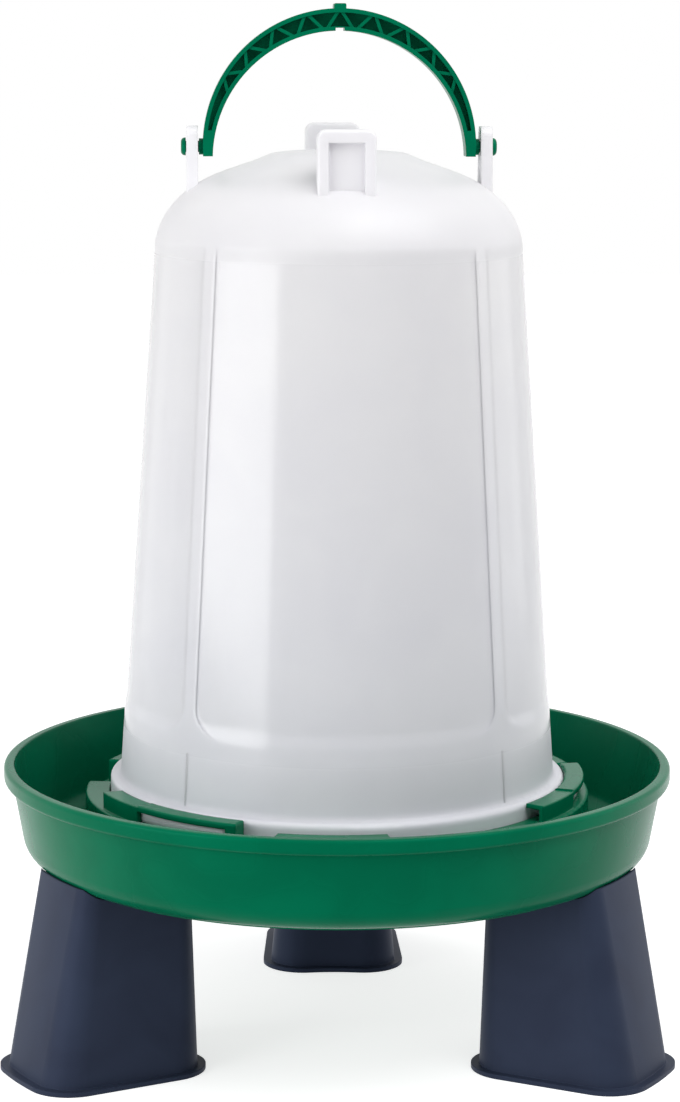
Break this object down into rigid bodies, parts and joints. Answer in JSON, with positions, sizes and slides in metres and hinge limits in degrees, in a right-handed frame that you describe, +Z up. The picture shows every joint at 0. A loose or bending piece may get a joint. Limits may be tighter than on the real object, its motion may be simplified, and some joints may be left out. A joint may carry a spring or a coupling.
{
  "type": "poultry drinker",
  "caption": "Free-standing siphon drinker for poultry: a domed reservoir locked into a round trough on three legs, with a folding carry handle.",
  "frame": {"origin": "on the reservoir's axis, at the height of the ground under the three legs", "axes": "+Z up along the reservoir's axis, X along the handle's pins, -Y towards the side the picture shows"},
  "size_m": [0.3806, 0.3945, 0.5845],
  "materials": {
    "reservoir": "satin translucent",
    "green_plastic": "smooth moulded",
    "leg_plastic": "smooth moulded"
  },
  "bodies": {
    "base": {"drinking_tray": "green_plastic", "leg_rear": "leg_plastic", "leg_front_left": "leg_plastic", "leg_front_right": "leg_plastic"},
    "reservoir": {"reservoir": "reservoir"},
    "handle": {"carry_handle": "green_plastic"}
  },
  "joints": [
    {"name": "reservoir_twist", "type": "hinge", "parent": "base", "child": "reservoir", "pos_m": [0, 0, 0.1354], "axis": [0, 0, 1], "range_deg": [-45, 0]},
    {"name": "handle_swing", "type": "hinge", "parent": "reservoir", "child": "handle", "pos_m": [0, 0, 0.5061], "axis": [1, 0, 0], "range_deg": [-73, 73]}
  ]
}
